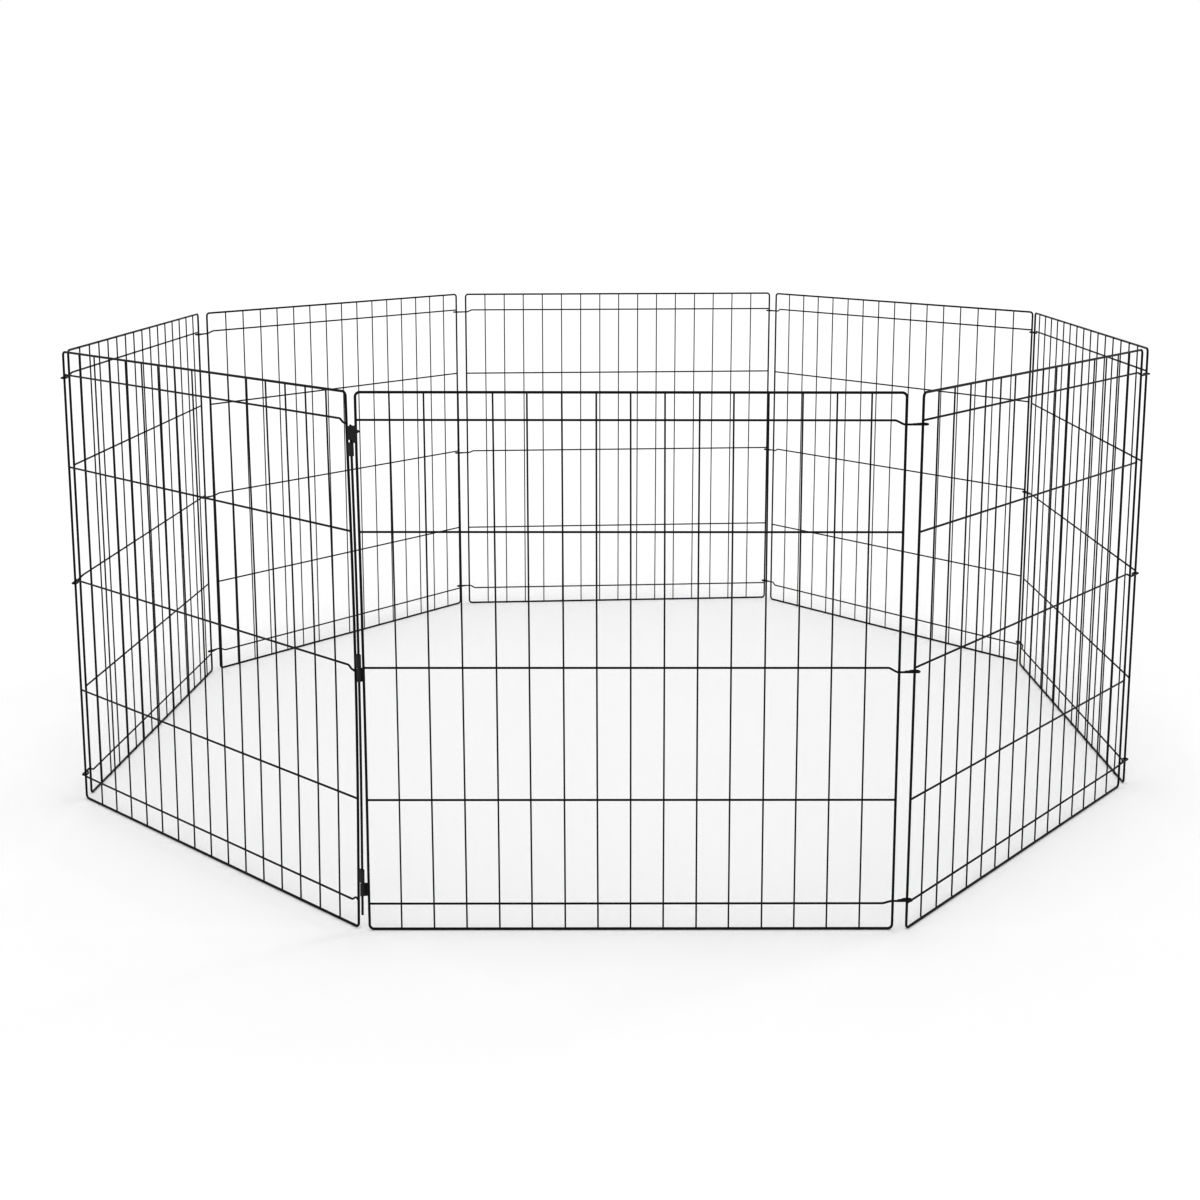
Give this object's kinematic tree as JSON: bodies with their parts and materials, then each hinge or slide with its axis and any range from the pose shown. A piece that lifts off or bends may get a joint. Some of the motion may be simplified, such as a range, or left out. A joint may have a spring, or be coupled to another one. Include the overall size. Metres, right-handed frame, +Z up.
{
  "type": "pet playpen",
  "caption": "Free-standing ring of hinged square wire panels for pets, closed by a vertical drop rod and folding like an accordion.",
  "frame": {"origin": "centre of the pen's footprint, on the floor", "axes": "+Z up; the first panel stands along X at the -Y side, with the latch at its left end seen from outside; panels are numbered anticlockwise seen from above"},
  "size_m": [1.4364, 1.5406, 0.6096],
  "materials": {
    "wire": "semi-gloss black dip coat over steel wire",
    "fitting": "satin black coat over formed steel strip"
  },
  "bodies": {
    "panel_1": {"panel_1_frame": "wire", "panel_1_grid": "wire", "panel_1_hinge_wire_top": "wire", "panel_1_hinge_wire_middle": "wire", "panel_1_hinge_wire_bottom": "wire", "latch_keeper_top": "fitting", "latch_keeper_middle": "fitting", "latch_keeper_bottom": "fitting"},
    "panel_2": {"panel_2_frame": "wire", "panel_2_grid": "wire", "panel_2_hinge_wire_top": "wire", "panel_2_hinge_wire_middle": "wire", "panel_2_hinge_wire_bottom": "wire"},
    "panel_3": {"panel_3_frame": "wire", "panel_3_grid": "wire", "panel_3_hinge_wire_top": "wire", "panel_3_hinge_wire_middle": "wire", "panel_3_hinge_wire_bottom": "wire"},
    "panel_4": {"panel_4_frame": "wire", "panel_4_grid": "wire", "panel_4_hinge_wire_top": "wire", "panel_4_hinge_wire_middle": "wire", "panel_4_hinge_wire_bottom": "wire"},
    "panel_5": {"panel_5_frame": "wire", "panel_5_grid": "wire", "panel_5_hinge_wire_top": "wire", "panel_5_hinge_wire_middle": "wire", "panel_5_hinge_wire_bottom": "wire"},
    "panel_6": {"panel_6_frame": "wire", "panel_6_grid": "wire", "panel_6_hinge_wire_top": "wire", "panel_6_hinge_wire_middle": "wire", "panel_6_hinge_wire_bottom": "wire"},
    "panel_7": {"panel_7_frame": "wire", "panel_7_grid": "wire", "panel_7_hinge_wire_top": "wire", "panel_7_hinge_wire_middle": "wire", "panel_7_hinge_wire_bottom": "wire"},
    "panel_8": {"panel_8_frame": "wire", "panel_8_grid": "wire", "panel_8_hinge_wire_top": "wire", "panel_8_hinge_wire_middle": "wire", "panel_8_hinge_wire_bottom": "wire", "latch_barrel_top": "fitting", "latch_barrel_middle": "fitting", "latch_barrel_bottom": "fitting"},
    "latch_rod": {"latch_rod": "wire"}
  },
  "joints": [
    {"name": "fold_4_5", "type": "hinge", "parent": "panel_5", "child": "panel_4", "pos_m": [0.31101, 0.7644, 0], "axis": [0, 0, 1], "range_deg": [0, 220.2]},
    {"name": "fold_3_4", "type": "hinge", "parent": "panel_4", "child": "panel_3", "pos_m": [0.70951, 0.30759, 0], "axis": [0, 0, -1], "range_deg": [0, 126.2]},
    {"name": "fold_2_3", "type": "hinge", "parent": "panel_3", "child": "panel_2", "pos_m": [0.71269, -0.2986, 0], "axis": [0, 0, 1], "range_deg": [0, 206.8]},
    {"name": "fold_1_2", "type": "hinge", "parent": "panel_2", "child": "panel_1", "pos_m": [0.3271, -0.76636, 0], "axis": [0, 0, -1], "range_deg": [0, 116.5]},
    {"name": "fold_5_6", "type": "hinge", "parent": "panel_5", "child": "panel_6", "pos_m": [-0.29348, 0.71894, 0], "axis": [0, 0, 1], "range_deg": [0, 120.81]},
    {"name": "fold_6_7", "type": "hinge", "parent": "panel_6", "child": "panel_7", "pos_m": [-0.67907, 0.25119, 0], "axis": [0, 0, -1], "range_deg": [0, 203.18]},
    {"name": "fold_7_8", "type": "hinge", "parent": "panel_7", "child": "panel_8", "pos_m": [-0.71418, -0.354, 0], "axis": [0, 0, 1], "range_deg": [0, 117.52]},
    {"name": "latch_rod_lift", "type": "slide", "parent": "panel_8", "child": "latch_rod", "axis": [0, 0, 1], "range_m": [0, 0.54]}
  ],
  "couplings": [
    {"joint": "fold_3_4", "follows": "fold_4_5", "ratio": 0.57311},
    {"joint": "fold_2_3", "follows": "fold_4_5", "ratio": 0.93914},
    {"joint": "fold_1_2", "follows": "fold_4_5", "ratio": 0.52906},
    {"joint": "fold_5_6", "follows": "fold_4_5", "ratio": 0.54859},
    {"joint": "fold_6_7", "follows": "fold_4_5", "ratio": 0.9227},
    {"joint": "fold_7_8", "follows": "fold_4_5", "ratio": 0.53367}
  ]
}
